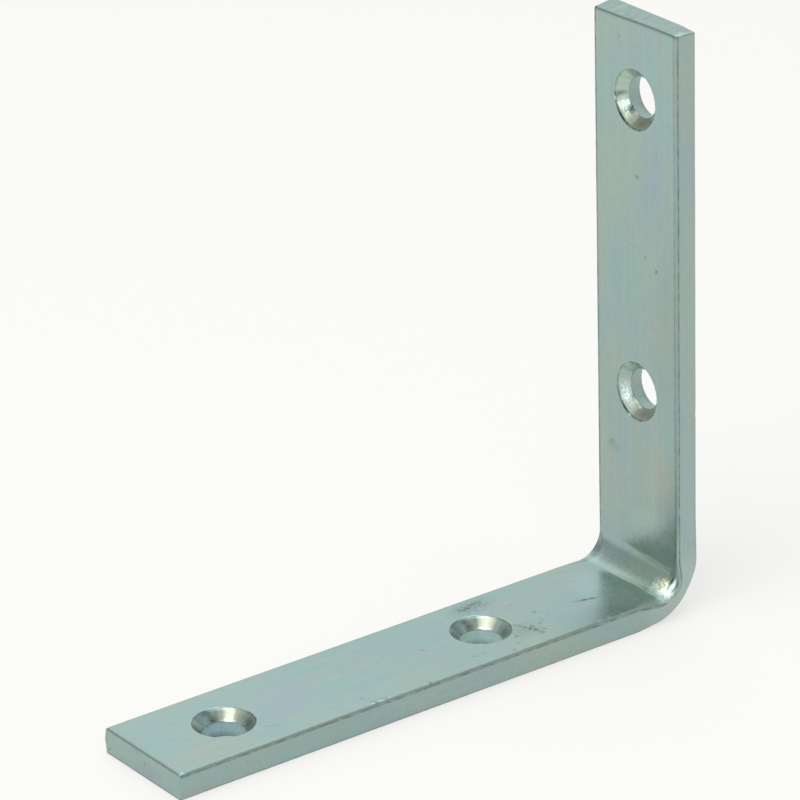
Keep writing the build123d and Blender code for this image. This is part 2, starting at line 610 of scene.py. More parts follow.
# %% [markdown]
# ## The stations along the strip
#
# The skin is a grid: rings along the strip, each one a section loop. Rings stand half a millimetre
# apart on the flat, and five times closer in the bend, where the press marks are. At both ends they
# go on over the small round edge and then shrink towards the middle of the cut, which closes it.

# %% Stations
flat_pitch = 0.5
run_pitch = 0.25
bend_pitch = 0.1
sheared_edge_radius = 0.2
cut_rings = 12
edge_steps = 5
edge_turn = np.linspace(0, pi / 2, edge_steps + 1)


def steps(start, end, pitch):
    """Evenly spaced places from start up to, but not at, end."""
    return np.linspace(start, end, int(np.ceil((end - start) / pitch - rounding)), endpoint=False)


run_start, run_end = bend_start - bend_run_out, bend_end + bend_run_out
stops = [sheared_edge_radius, run_start, bend_start, bend_end, run_end, strip_length - sheared_edge_radius]
stops += [place + side for place in hole_places for side in (-patch_half, patch_half)]
stops.sort()
stations = []
for first, last in zip(stops[:-1], stops[1:]):
    inside_run = run_start - tolerance < first and last < run_end + tolerance
    inside_bend = bend_start - tolerance < first and last < bend_end + tolerance
    pitch = bend_pitch if inside_bend else run_pitch if inside_run else flat_pitch
    stations.append(steps(first, last, pitch))
stations = np.concatenate(stations)[1:]

end_s = np.concatenate([np.zeros(cut_rings), sheared_edge_radius * (1 - np.cos(edge_turn))])
end_inset = np.concatenate([np.ones(cut_rings), 1 - np.sin(edge_turn)]) * sheared_edge_radius
end_shrink = np.concatenate([np.linspace(0, 1, cut_rings + 1)[:-1], np.ones(len(edge_turn))])
ring_s = np.concatenate([end_s, stations, strip_length - end_s[::-1]])
ring_inset = np.concatenate([end_inset, 0 * stations, end_inset[::-1]])
ring_shrink = np.concatenate([end_shrink, 0 * stations + 1, end_shrink[::-1]])
print(len(ring_s), "rings,", len(stations), "of them between the sheared edges")

# %% [markdown]
# ## The skin of the strip
#
# Now the pieces meet. The distortion of the bend grows like a sine from the start of its run-out to
# its middle, and dies out sooner on the upright's side. The section loops take their relief, the ends
# take their round edges and their rough cut, and the shear spreads the far side of the leg's end a
# little. Then the bending formula carries the whole grid into place in one go.

# %% Skin
distortion_reach = bend_run_out + mid_radius * pi / 4
upright_side_falloff = 2.5
distortion_left = 1 - np.abs(ring_s - bend_middle) / distortion_reach
past_middle = smooth_step((ring_s - bend_middle) / (bend_end - bend_middle))
ring_share = np.sin(pi / 2 * np.clip(distortion_left, 0, 1)) ** (1 + upright_side_falloff * past_middle)
ring_tilt = lip_tilt + glint_tilt * bump_at(bend_angle(ring_s), *glint_place)
outer_turn = smooth_step((ring_s - bend_start) / (run_end - bend_start))
ring_round = leg_outer_radius + (upright_outer_radius - leg_outer_radius) * outer_turn
ring_far_tilt = 0 * ring_s + far_lip_tilt
points, normals = section_loop(ring_share, ring_tilt, ring_far_tilt, ring_round)

grid_s, grid_v = ring_s[:, None], developed[None, :-1]
inner_part = np.clip(normals[..., 1], 0, 1) ** 2
outer_part = np.clip(-normals[..., 1], 0, 1) ** 2
side_part = normals[..., 0] ** 2
relief = inner_part * inner_relief(grid_s, points[..., 0])
relief += outer_part * outer_relief(grid_s, points[..., 0])
relief += side_part * edge_relief(grid_s, grid_v)
points = points + normals * (relief - ring_inset[:, None])[..., None]

core_w = np.clip(points[..., 0], -patch_half, patch_half)
skin_w = core_w + (points[..., 0] - core_w) * ring_shrink[:, None]
skin_h = points[..., 1] * ring_shrink[:, None]

setback_reach = 2.5
spread_reach = 1.6
widest_spread = 0.34
at_leg_end = smooth_step(1 - grid_s / setback_reach)
at_upright_end = smooth_step(1 - (strip_length - grid_s) / setback_reach)
skin_s = grid_s + leg_setback(skin_w, skin_h) * at_leg_end
skin_s = skin_s - upright_setback(skin_w, skin_h) * at_upright_end
spread_at_cut = widest_spread * smooth_step(1 - grid_s / spread_reach) * bump_at(skin_h, 0.2, 2.4)
skin_w = skin_w + spread_at_cut * smooth_step((skin_w - 8.0) / 2.0)
skin_points = bent(skin_s, skin_w, skin_h)
print("skin grid", skin_points.shape[:2])

# %% [markdown]
# ## Faces of a grid
#
# Every surface here is a grid of closed rings, so one function lists the four-cornered faces of each.
# It also returns where each face's corners lie in the grid, because the pattern coordinates are kept
# for each corner of a face: where a ring closes, the last column shares its points with the first,
# but its pattern goes on.

# %% Grid faces


def grid_faces(rows, columns):
    """Corner rows and columns of every face of a grid of rings, and the number of each corner's point."""
    row, column = np.meshgrid(np.arange(rows - 1), np.arange(columns), indexing="ij")
    corner_row = np.stack([row, row, row + 1, row + 1], -1).reshape(-1, 4)
    corner_column = np.stack([column, column + 1, column + 1, column], -1).reshape(-1, 4)
    return corner_row, corner_column, corner_row * columns + corner_column % columns


def in_patch(s, w):
    """True where a place lies on one of the squares that hold the holes."""
    near = np.min(np.abs(s[..., None] - np.array(hole_places)), axis=-1)
    return (near < patch_half + tolerance) & (np.abs(w) < patch_half + tolerance)


corner_row, corner_column, skin_quads = grid_faces(len(ring_s), loop_size)
corner_flat = flat_loop[corner_column % loop_size]
on_a_face = (np.abs(corner_flat[..., 1]) > half_thickness - rounding).all(axis=1)
in_a_square = in_patch(ring_s[corner_row], corner_flat[..., 0]).all(axis=1)
off_the_cut = (ring_shrink[corner_row] == 1).all(axis=1)
kept = ~(on_a_face & in_a_square & off_the_cut)
skin_quads = skin_quads[kept]
skin_uv = np.stack([ring_s[corner_row], developed[corner_column]], -1)[kept]
cut_face = (ring_shrink[corner_row] < 1).any(axis=1)[kept]
print(len(skin_quads), "faces on the strip,", int((~kept).sum()), "left out for the holes")

# %% [markdown]
# ## The profile of a hole
#
# Each hole is punched from the screw face and countersunk with a turning tool. Its wall is a profile
# carried round a circle: the rounded rim, the cone, a small edge, the bore, and the flare where the
# punch broke out. The profile is a line of corners that are then rounded.

# %% Profile of a hole
patch_rings = 8
hole_map_pitch = 40.0
inner_ring_radius = 5.55
outer_ring_radius = 4.4
countersink_radius = countersink_diameter / 2
cone_depth = countersink_radius - bore_radius
chatter_depth = 0.012
chatter_lobes = 17
out_of_round_depth = 0.03
torn_depth = 0.025
cone_foot_radius = 0.28
flare_start_radius = 0.6
flare_end_radius = 0.2


def rounded_profile(corners, radii, arc_steps):
    """Points along a line of corners (radius, depth), with each inner corner replaced by an arc.

    The arc touches both runs at r * tan(half the turn) from the corner. Its points are the corner's
    inner centre minus r times a normal that turns evenly from one run's normal to the other's.
    """
    corners = np.array(corners, float)
    points, parts = [corners[:1]], [np.zeros(1, int)]
    for number, (radius, count) in enumerate(zip(radii, arc_steps), start=1):
        before, here, after = corners[number - 1:number + 2]
        into = (here - before) / np.linalg.norm(here - before)
        out = (after - here) / np.linalg.norm(after - here)
        turn = np.arctan2(into[0] * out[1] - into[1] * out[0], into @ out)
        touch = here - into * radius * abs(np.tan(turn / 2))
        side = np.array([-into[1], into[0]]) * np.sign(turn)
        centre = touch + side * radius
        angle = turn * np.linspace(0, 1, count + 1)[:, None]
        spoke = touch - centre
        turned = np.stack([-spoke[1], spoke[0]])
        points.append(centre + spoke * np.cos(angle) + turned * np.sin(angle))
        parts.append(np.full(count + 1, number))
    points.append(corners[-1:])
    parts.append(np.full(1, len(radii) + 1))
    return np.concatenate(points), np.concatenate(parts)


profile_corners = [
    (inner_ring_radius, 0.0),
    (countersink_radius, 0.0),
    (bore_radius, cone_depth),
    (bore_radius, strip_thickness - breakout_depth),
    (bore_radius + breakout_growth, strip_thickness),
    (outer_ring_radius, strip_thickness),
]
profile_radii = (countersink_rim_radius, cone_foot_radius, flare_start_radius, flare_end_radius)
profile_arc_steps = (8, 6, 4, 4)
profile, profile_part = rounded_profile(profile_corners, profile_radii, profile_arc_steps)
print("rounded profile of", len(profile), "points")

# %% [markdown]
# ## Even steps down the profile
#
# The straight runs of the profile are divided into short equal steps, so that the lobes and the tears
# of the wall have points to show on. The distance down the profile is kept for the map.

# %% Steps down the profile
longest_step = 0.22


def fill_long_runs(points, parts, pitch):
    """Divide every run of the profile that is longer than the pitch into equal steps."""
    filled, filled_parts = [points[:1]], [parts[:1]]
    for first, last, part in zip(points[:-1], points[1:], parts[1:]):
        count = max(1, int(np.ceil(np.linalg.norm(last - first) / pitch)))
        filled.append(first + (last - first) * np.linspace(0, 1, count + 1)[1:, None])
        filled_parts.append(np.full(count, part))
    return np.concatenate(filled), np.concatenate(filled_parts)


profile, profile_part = fill_long_runs(profile, profile_part, longest_step)
profile_run = np.concatenate([[0.0], np.cumsum(np.linalg.norm(np.diff(profile, axis=0), axis=1))])
print("hole profile of", len(profile), "points,", round(profile_run[-1], 2), "mm long")

# %% [markdown]
# ## The countersunk holes
#
# The profile now goes round the circle. A square patch on each face joins the round rim to the grid of
# the strip. Its rings change from the circle to the square by plain blending, and because the square's
# own points are those of the grid, the two close up without a gap. The tool chattered and ran a little
# out of round on the cone, and the punch tore the bore.

# %% Holes
patch_crowding = 1.25
first_hole_seed = 100
cone_fade = 0.25
torn_start = 0.2
torn_fade = 0.3
face_fade = 0.6
overlap = 0.1
last_part = len(profile_radii) + 1
columns_round = 4 * patch_cells
round_turn = -3 * pi / 4 + 2 * pi * np.arange(columns_round) / columns_round
circle = np.stack([np.cos(round_turn), np.sin(round_turn)], -1)
edge_walk = patch_columns[:-1]
border = 0 * edge_walk + patch_half
square = np.concatenate([
    np.stack([edge_walk, -border], -1),
    np.stack([border, edge_walk], -1),
    np.stack([-edge_walk, border], -1),
    np.stack([-border, -edge_walk], -1),
])


def hole_surface(place, seed, map_shift):
    """Points, faces, pattern coordinates and finish of one hole with its patch on each face.

    The finish of a face is 0 on the strip's own faces, 1 in the countersink and 2 in the punched
    bore. It follows from the part of the profile, which counts its corners from the screw face.
    map_shift is where the wall of this hole starts on the map, in mm.
    """
    share = np.linspace(1, 0, patch_rings + 1)[:-1, None, None] ** patch_crowding
    inner_flat = circle * inner_ring_radius * (1 - share) + square * share
    outer_flat = (circle * outer_ring_radius * (1 - share) + square * share)[::-1]
    wall_depth = profile[:, 1]
    lobes = np.cos(chatter_lobes * round_turn + 5 * mottle(circle[:, 0], circle[:, 1], 0.7, 0.7, seed))
    out_of_round = mottle(2 * circle[:, 0], 2 * circle[:, 1], 1.0, 1.0, seed + 1)
    on_cone = smooth_step(wall_depth / cone_fade)
    on_cone = on_cone * smooth_step((cone_depth + overlap - wall_depth) / cone_fade)
    growth = on_cone[:, None] * (chatter_depth * lobes + out_of_round_depth * out_of_round)[None, :]
    torn = smooth_step((wall_depth - cone_depth - torn_start) / torn_fade)
    torn = torn * smooth_step((strip_thickness + overlap - wall_depth) / face_fade)
    growth += torn[:, None] * torn_depth * mottle(3 * round_turn, wall_depth[:, None], 0.5, 1.4, seed + 2)
    wall_flat = circle * (profile[:, 0:1] + growth)[..., None]
    flat = np.concatenate([inner_flat, wall_flat, outer_flat])

    depth = np.concatenate([np.zeros(patch_rings), wall_depth, np.full(patch_rings, strip_thickness)])
    sunk = (depth / strip_thickness)[:, None]
    s, w = place + flat[..., 0], flat[..., 1]
    h = half_thickness - depth[:, None] + (1 - sunk) * inner_relief(s, w)
    h = h - sunk * outer_relief(s, w)

    corner_row, corner_column, quads = grid_faces(len(flat), columns_round)
    column_width = 2 * pi / columns_round * bore_radius
    run = np.concatenate([np.zeros(patch_rings), profile_run, np.full(patch_rings, profile_run[-1])])
    uv = np.stack([corner_column * column_width + map_shift, run[corner_row]], -1)
    wrapped = corner_column % columns_round
    side = np.sign(np.sin(round_turn[corner_column[:, :1]] + pi / columns_round))
    corner_w = w[corner_row, wrapped]
    over_edge = np.where(sunk[corner_row, 0] > 0.5, side * (girth / 2 - np.abs(corner_w)), corner_w)

    on_the_faces = [wall_depth < tolerance, wall_depth > strip_thickness - tolerance]
    wall_part = np.select(on_the_faces, [0, last_part], profile_part)
    part = np.concatenate([np.zeros(patch_rings), wall_part, np.full(patch_rings, last_part)])
    part = part[corner_row].max(axis=1)
    finish = np.select([part == 0, part <= 2, part < last_part], [0, 1, 2], 0)
    on_face = (finish == 0)[:, None, None]
    uv = np.where(on_face, np.stack([s[corner_row, wrapped], over_edge], -1), uv)
    return bent(s, w, h).reshape(-1, 3), quads, uv, finish


holes = []
for number, place in enumerate(hole_places):
    holes.append(hole_surface(place, first_hole_seed + 10 * number, hole_map_pitch * number))
print(len(holes), "holes of", len(holes[0][1]), "faces each")

# %% [markdown]
# ## One closed skin
#
# The strip's grid and the four holes become one mesh. Points that lie in the same place are merged, and
# the faces are turned outwards. Then the volume and the open edges are measured: a seam that stayed
# open or a face that is turned round would show in them.

# %% Mesh
cut_finish = 3
cut_uv = np.stack([skin_w.reshape(-1)[skin_quads], skin_h.reshape(-1)[skin_quads]], -1)
strip_uv = np.where(cut_face[:, None, None], cut_uv, skin_uv)
strip_finish = np.where(cut_face, cut_finish, 0)
surfaces = [(skin_points.reshape(-1, 3), skin_quads, strip_uv, strip_finish), *holes]
all_points, all_quads, all_uv, all_finish = zip(*surfaces)
first_points = np.cumsum([0] + [len(array) for array in all_points[:-1]])
all_quads = np.concatenate([quads + first for quads, first in zip(all_quads, first_points)])
all_points = np.concatenate(all_points) * MM
all_uv, all_finish = np.concatenate(all_uv), np.concatenate(all_finish)

skin_mesh = bpy.data.meshes.new("plated_brace")
skin_mesh.from_pydata(all_points.tolist(), [], all_quads.tolist())
skin_mesh.uv_layers.new(name="developed").data.foreach_set("uv", all_uv.ravel())
skin_mesh.polygons.foreach_set("material_index", all_finish)
skin_mesh.polygons.foreach_set("use_smooth", np.ones(len(all_finish), bool))

merge_distance = 2e-7
work = bmesh.new()
work.from_mesh(skin_mesh)
bmesh.ops.remove_doubles(work, verts=work.verts, dist=merge_distance)
bmesh.ops.dissolve_degenerate(work, edges=work.edges, dist=merge_distance)
bmesh.ops.recalc_face_normals(work, faces=work.faces)
open_edges = sum(not edge.is_manifold for edge in work.edges)
print("volume", round(work.calc_volume() / MM**3, 1), "mm3, open edges:", open_edges)
work.to_mesh(skin_mesh)
work.free()
brace = add_to_scene("plated_brace", skin_mesh)
triangles = sum(len(face.vertices) - 2 for face in skin_mesh.polygons)
print(len(skin_mesh.polygons), "faces,", triangles, "triangles")

# %% [markdown]
# ## Reading the pattern coordinates
#
# The skin carries its own map in millimetres: u runs along the strip, round the bend too, and v runs
# across it and on over the sides. A pattern on this map lies on the metal as the plating does. Every
# finish is made from the same few patterns: blotches and soft ovals on the map, and grains and soft
# balls in the part's own space.

# %% Helpers for finishes
metal_share = 0.82


def new_finish(name):
    """Add a metal to the brace; return its tree, its shader and the map's place in mm."""
    finish = bpy.data.materials.new(name)
    finish.use_nodes = True
    skin_mesh.materials.append(finish)
    tree = finish.node_tree
    shader = tree.nodes["Principled BSDF"]
    shader.inputs["Metallic"].default_value = metal_share
    return tree, shader, put(tree, "UVMap", uv_map="developed").outputs["UV"]


def blotches(tree, place, size_u, size_v, shift, detail=2.0):
    """Noise from 0 to 1 in blotches of about size_u by size_v mm; shift picks another part of it."""
    setting = {"Vector": place, "Location": (shift, 1.7 * shift, 0), "Scale": (1 / size_u, 1 / size_v, 1)}
    scaled = put(tree, "Mapping", setting).outputs["Vector"]
    noise = put(tree, "TexNoise", {"Vector": scaled, "Scale": 1.0, "Detail": detail}, noise_dimensions="2D")
    return Field(tree, noise.outputs["Fac"]).ease(0.32, 0.68)


def grains(tree, size, shift):
    """Noise from 0 to 1 in grains of about that size in mm, fixed in the part's own space."""
    setting = {"Vector": own_place(tree), "Location": (shift,) * 3, "Scale": (1 / (size * MM),) * 3}
    scaled = put(tree, "Mapping", setting).outputs["Vector"]
    noise = put(tree, "TexNoise", {"Vector": scaled, "Scale": 1.0, "Detail": 2.0})
    return Field(tree, noise.outputs["Fac"]).ease(0.34, 0.66)


def soft_shape(tree, setting):
    """An ellipse or a ball that is 1 in its centre and 0 at its rim; setting says where it lies."""
    inside = put(tree, "Mapping", setting, vector_type="TEXTURE").outputs["Vector"]
    shape = put(tree, "TexGradient", {"Vector": inside}, gradient_type="SPHERICAL")
    return Field(tree, shape.outputs["Fac"])


def oval(tree, place, centre, half_size, turn=0.0):
    """A soft spot on the map. Centre and half sizes in mm, turn in degrees."""
    setting = {"Vector": place, "Location": (*centre, 0), "Scale": (*half_size, 1)}
    return soft_shape(tree, {**setting, "Rotation": (0, 0, radians(turn))})


def ball(tree, centre, radius):
    """A soft ball in the part's own space. Centre and radius in mm."""
    setting = {"Vector": own_place(tree), "Location": tuple(centre * MM), "Scale": (radius * MM,) * 3}
    return soft_shape(tree, setting)


def spots(tree, place, marks):
    """Sum of soft spots. A mark is a centre, half sizes, a strength and, if it is turned, degrees."""
    total = 0.0
    for centre, half_size, strength, *turn in marks:
        total += strength * oval(tree, place, centre, half_size, *turn)
    return total


def finish_off(tree, shader, colour, tone, roughness, height):
    """Wire a tint, its tone, the roughness and the height in mm into the shader."""
    toned = put(tree, "VectorMath", {0: colour, "Scale": tone}, operation="SCALE").outputs["Vector"]
    tree.links.new(toned, shader.inputs["Base Color"])
    tree.links.new(roughness.socket, shader.inputs["Roughness"])
    bump = put(tree, "Bump", {"Height": height, "Distance": MM, "Strength": 1.0})
    tree.links.new(bump.outputs["Normal"], shader.inputs["Normal"])


print("metal share of the plating:", metal_share)

# %% [markdown]
# ## The tints of the plating
#
# Blue passivated zinc is never one grey. It drifts between cyan, green, violet and warm grey in patches
# of a centimetre or two, drawn out along the strip. Most of the patches come from noise, and the ones
# that the picture shows clearly are placed one by one. A place is its centre on the map, its half
# sizes, its tint, its strength and, if it is turned, its turn in degrees.

# %% Tints
cyan_grey = (0.310, 0.455, 0.438, 1)
green_grey = (0.343, 0.462, 0.408, 1)
violet_grey = (0.350, 0.430, 0.452, 1)
warm_grey = (0.385, 0.443, 0.392, 1)
tint_places = {
    "violet_by_the_near_hole": ((26.5, -0.5), (8.5, 5.0), violet_grey, 1.3, 25.0),
    "warm_at_the_end_of_the_leg": ((9.5, -6.0), (9.0, 5.0), warm_grey, 1.2),
    "cyan_low_on_the_end": ((4.0, 0.5), (4.0, 6.0), cyan_grey, 0.8),
    "violet_high_on_the_upright": ((165.5, -4.5), (11.0, 4.2), (0.330, 0.418, 0.452, 1), 1.1),
    "warm_above_the_bend": ((116.0, -5.3), (6.0, 4.0), warm_grey, 1.3),
    "green_high_on_the_upright": ((165.0, 5.5), (15.0, 5.5), (0.355, 0.462, 0.402, 1), 1.1),
    "cyan_in_the_middle_of_the_upright": ((147.0, 3.0), (12.0, 6.0), cyan_grey, 0.9),
}
print(len(tint_places), "tinted places")

# %% [markdown]
# ## The marks of handling
#
# Handling left a few smudges, specks, pits and two scratches. Along the near edge, its nicks and scuffs
# carry painted glints, and broad places are painted lighter or darker where the strip mirrors the room.
# Each one is a soft oval: its centre on the map, its half sizes, how much darker or lighter it is and,
# if it is turned, its turn in degrees.

# %% Marks of handling
handling_marks = {
    "scratch_before_the_bend": ((83.4, -2.3), (3.2, 0.44), 0.54, -17.0),
    "smudge_behind_the_hole": ((66.4, 7.4), (2.6, 1.3), 0.26),
    "second_smudge_behind_the_hole": ((69.2, 7.9), (1.8, 1.0), 0.22),
    "smudge_behind_the_hole_wide": ((67.8, 7.0), (5.6, 2.8), 0.20, 5.0),
    "streak_beside_the_hole": ((70.0, -4.3), (3.4, 0.60), 0.32, -66.0),
    "second_streak": ((70.9, -4.9), (1.8, 0.45), 0.26, -96.0),
    "shade_beside_the_hole": ((69.3, -4.6), (4.4, 3.0), 0.16),
    "stroke_by_the_edge": ((35.8, -7.4), (0.4, 1.0), 0.30, 12.0),
    "notch_by_the_edge": ((63.8, -9.0), (0.3, 0.8), 0.34),
    "smudge_above_the_bend": ((117.6, 6.0), (2.2, 1.2), 0.14, 70.0),
    "scratch_near_the_top": ((187.1, 3.7), (1.6, 0.25), 0.24, 20.0),
    "scuff_under_the_near_hole": ((20.5, -6.0), (2.4, 0.5), 0.10, -30.0),
}
specks_and_pits = [
    ((72.6, -4.2), (0.5, 0.4), 0.34),
    ((71.9, -6.2), (0.4, 0.4), 0.30),
    ((73.6, -3.4), (0.4, 0.5), 0.26),
    ((74.3, -0.5), (0.6, 0.6), 0.32),
    ((75.3, -2.5), (0.6, 0.5), 0.30),
    ((70.8, -7.1), (0.8, 0.7), 0.28),
    ((72.6, 3.8), (0.5, 0.4), 0.24),
    ((66.9, -5.5), (0.7, 0.4), 0.26, 30.0),
    ((65.7, -7.5), (0.5, 0.5), 0.28),
    ((59.5, -6.8), (0.6, 0.4), 0.26),
    ((57.8, -6.9), (0.9, 0.3), 0.22, -20.0),
    ((52.8, -0.1), (0.5, 0.5), 0.30),
    ((165.3, -0.4), (0.6, 0.5), 0.45),
    ((152.5, -2.4), (0.4, 0.4), 0.30),
    ((150.8, -5.1), (0.5, 0.5), 0.42),
    ((118.2, 6.2), (0.5, 0.6), 0.30),
    ((36.6, -9.2), (0.35, 1.2), 0.34, 20.0),
    ((38.6, -9.3), (0.9, 0.5), 0.26),
    ((46.9, -9.6), (0.4, 0.8), 0.34),
]
# Painted glints along the near edge, at its nicks and scuffs and at the corner of the leg's end.
edge_glints = [
    ((0.5, -9.6), (0.7, 0.50), 0.60),
    ((36.2, -9.5), (0.5, 0.35), 0.55),
    ((37.8, -9.6), (0.7, 0.30), 0.50),
    ((39.3, -9.55), (0.4, 0.30), 0.45),
    ((46.4, -9.6), (0.4, 0.30), 0.40),
    ((80.2, -9.55), (0.5, 0.30), 0.50),
    ((82.0, -9.6), (0.6, 0.30), 0.55),
    ((84.6, -9.6), (0.4, 0.30), 0.45),
]
# Painted light and shade: lighter and darker places where the strip mirrors other parts of the room.
shaded_places = {
    "light_before_the_bend": ((89.0, -3.0), (7.0, 10.0), 0.26),
    "light_above_the_bend": ((105.5, -5.0), (5.0, 8.0), 0.18),
    "shade_above_the_bend": ((111.0, -12.0), (15.0, 8.0), -0.22),
    "shade_before_the_bend": ((81.0, -11.5), (13.0, 8.5), -0.15),
    "light_on_the_far_bend": ((96.5, 7.0), (6.0, 6.0), 0.09),
    "light_behind_the_lip": ((89.0, -7.8), (4.5, 3.5), 0.13),
    "shade_on_the_near_upright": ((141.0, -8.0), (24.0, 5.0), -0.07),
}
print(len(handling_marks) + len(specks_and_pits), "dark marks,", len(edge_glints), "bright nicks")

# %% [markdown]
# ## Zinc on the rolled strip
#
# The finish starts from the tints and from two fine patterns: a mottling and the faint lines of
# rolling. The tone is a factor on the tint. Shaded places and marks change the tone, and the marks are
# broken up by a fine grain so that none of them looks painted on.

# %% Zinc on the rolled strip
tree, shader, place = new_finish("zinc_on_rolled_strip")
along, across, _ = parts_of(tree, place)
from_middle = abs(across)
inner_face = from_middle.ease(half_width - 0.3, half_width + 0.2, 1.0, 0.0)

colour = blend(tree, blotches(tree, place, 15.0, 8.0, 3.0), cyan_grey, green_grey)
violet_share = 0.42 * blotches(tree, place, 17.0, 5.5, 41.0)
colour = blend(tree, violet_share, colour, violet_grey)
warm_share = 0.36 * blotches(tree, place, 21.0, 4.0, 77.0)
colour = blend(tree, warm_share, colour, warm_grey)
for centre, half_size, tint, strength, *turn in tint_places.values():
    share = strength * oval(tree, place, centre, half_size, *turn)
    colour = blend(tree, share.at_most(1.0), colour, tint)

fine = blotches(tree, place, 1.9, 1.3, 12.0)
drawn = blotches(tree, place, 26.0, 0.55, 55.0, detail=3.0)
tone = 0.967 + 0.04 * fine + 0.035 * drawn
# Painted light and shade on the faces: a slope along the leg, one towards the top of the upright and the
# places listed above.
shading = along.ease(0.0, bend_start, 0.06, -0.02)
shading += along.ease(bend_end + 30, strip_length, 0.0, 0.06)
shading += spots(tree, place, shaded_places.values())
tone += shading * inner_face
marks = spots(tree, place, [*handling_marks.values(), *specks_and_pits])
marks *= 0.4 + 1.2 * blotches(tree, place, 0.7, 0.6, 91.0, detail=3.0)
tone -= marks
print("tints, mottling and marks:", len(tree.nodes), "nodes")

# %% [markdown]
# ## The burnished bend and the crushed lip
#
# Where the press pinched the inside of the bend, the zinc is burnished darker, with a crisp lower edge
# that carries golden crumbs. A painted band of light crosses the inside of the bend. The swollen lip is
# crushed to a grain, and a painted highlight lies on it, broken up by the grain. A thin painted glint
# runs round the corner with painted shade on each side of it. Above it golden grain carries painted
# glitter, and below it a painted white highlight is broken up by the grain.

# %% Burnished bend and crushed lip


def bend_place(degrees):
    """Return the place along the map that lies so many degrees round the bend."""
    return bend_start + mid_radius * radians(degrees)


crumb_gold = (0.58, 0.62, 0.40, 1)
grain_gold = (0.48, 0.50, 0.30, 1)
wander = along + 0.5 * blotches(tree, place, 9.0, 1.4, 19.0)
band = wander.ease(bend_place(35), bend_place(40)) * wander.ease(bend_place(74), bend_place(88), 1.0, 0.0)
tone *= 1.0 - 0.05 * band * inner_face
band_edge = wander.near(bend_place(38.5), 0.34) * inner_face
crumbs = blotches(tree, place, 0.4, 0.7, 23.0, detail=1.0).ease(0.55, 0.85)
colour = blend(tree, 0.8 * band_edge * crumbs, colour, crumb_gold)

near_side = across.ease(-1.0, 1.0, 1.0, 0.3)
lip = near_side * from_middle.ease(7.0, 8.9)
lip *= from_middle.ease(half_width, half_width + 0.25, 1.0, 0.0)
lip *= along.near(bend_place(33), 3.8)
lip *= along.ease(bend_place(50), bend_place(66), 1.0, 0.0)
sparkle = grains(tree, 0.42, 67.0)
# Painted highlight on the crushed lip, broken up by the grain.
tone += lip * (0.4 + 0.6 * sparkle)

# Painted light: a band across the inside of the bend, 24 degrees round it, fading out to the near side.
tone += 0.3 * along.near(bend_place(24), 2.2) * inner_face * across.ease(-7.5, 3.0)
# Painted glint round the near corner of the lip, with painted shade on each side of it.
glint_line = half_width - 0.222
glint = along.near(bend_place(58), 1.5) * near_side * from_middle.near(glint_line, 0.024)
shade_above_glint = from_middle.near(glint_line - 0.038, 0.022)
shade_below_glint = from_middle.near(glint_line + 0.036, 0.02)
shade_beside_glint = (shade_above_glint + 0.6 * shade_below_glint) * along.near(bend_place(53), 2.6)
shade_beside_glint = (1.6 * shade_beside_glint).at_most(1.0)
# Golden grain with painted glitter above the glint, and a painted white highlight in the grain below.
gold_grain_and_glitter = ball(tree, bent(bend_place(46), -7.9, half_thickness), 1.9)
gold_grain_and_glitter *= sparkle.ease(0.3, 0.75)
white_highlight_in_grain = ball(tree, bent(bend_place(30), -8.8, half_thickness - 0.4), 1.9)
white_highlight_in_grain *= sparkle.ease(0.2, 0.8, 0.5, 1.0)
print("with the bend and the lip:", len(tree.nodes), "nodes")

# %% [markdown]
# ## Lines along the edges
#
# Thin darker lines follow the rolled edges: one on the sides, one on the face of the upright, one on
# the swollen lip, one on the far edge, and one along the outer edge, which is strongest on the leg.
# The sides are painted in shade, most along the leg, and painted lighter near the bend. The painted
# glint, the painted glints of the near edge and the painted glitter of the grain come on top of the lines.

# %% Lines along the edges
outer_edge_place = 14.02
edge_noise = blotches(tree, place, 1.6, 0.5, 31.0, detail=3.0)
edge_start = half_width - rolled_edge_radius
edge_end = edge_start + rolled_edge_radius * pi / 2
on_upright = along.ease(bend_start, bend_end)
near_bend = along.near(bend_middle, 10.0).ease(0.0, 0.6)
on_side = from_middle.ease(half_width, half_width + 0.5)
# Painted shade on the sides, most along the leg.
side_shade = along.ease(bend_start, bend_end, 0.06, 0.01)
tone *= 1.0 - side_shade * on_side

line_on_side = from_middle.near(edge_end + 0.03, 0.3)
line_on_face = from_middle.near(edge_start - 0.15, 0.3) * on_upright * (1.0 - near_bend)
line_on_lip = from_middle.near(edge_end - 0.12, 0.16) * near_bend
far_line = across.near(edge_start + 0.05, 0.3)
outer_edge = from_middle.near(outer_edge_place, 0.42) * (0.3 + 0.9 * (1.0 - on_upright))
edge_lines = line_on_side + 0.6 * line_on_face + 0.5 * line_on_lip + 0.5 * far_line + outer_edge
tone *= 1.0 - edge_lines * (0.25 + 0.36 * edge_noise)
# Painted light on the sides near the bend, and the painted glint.
tone += 0.12 * on_side * near_bend + 1.8 * glint
# Painted glints on the near edge.
tone += spots(tree, place, edge_glints)
tone += 0.8 * gold_grain_and_glitter + 1.1 * white_highlight_in_grain
# Painted shade on each side of the glint.
tone *= 1.0 - 0.75 * shade_beside_glint
colour = blend(tree, (1.6 * gold_grain_and_glitter).at_most(1.0), colour, grain_gold)
print("with the edge lines:", len(tree.nodes), "nodes")

# %% [markdown]
# ## Ends, worn edges and the finish of the strip
#
# Both ends have a dark line round the cut, and painted shade along their outer edge. Along the edges a
# warm pale grey is worn zinc and partly a painted sheen of the rounded edge; most of it lies near the
# bend and least on the straight part of the upright. Last come the roughness and the fine height: marks
# and worn places are duller, marks are sunk a little and the crushed lip is grainy.

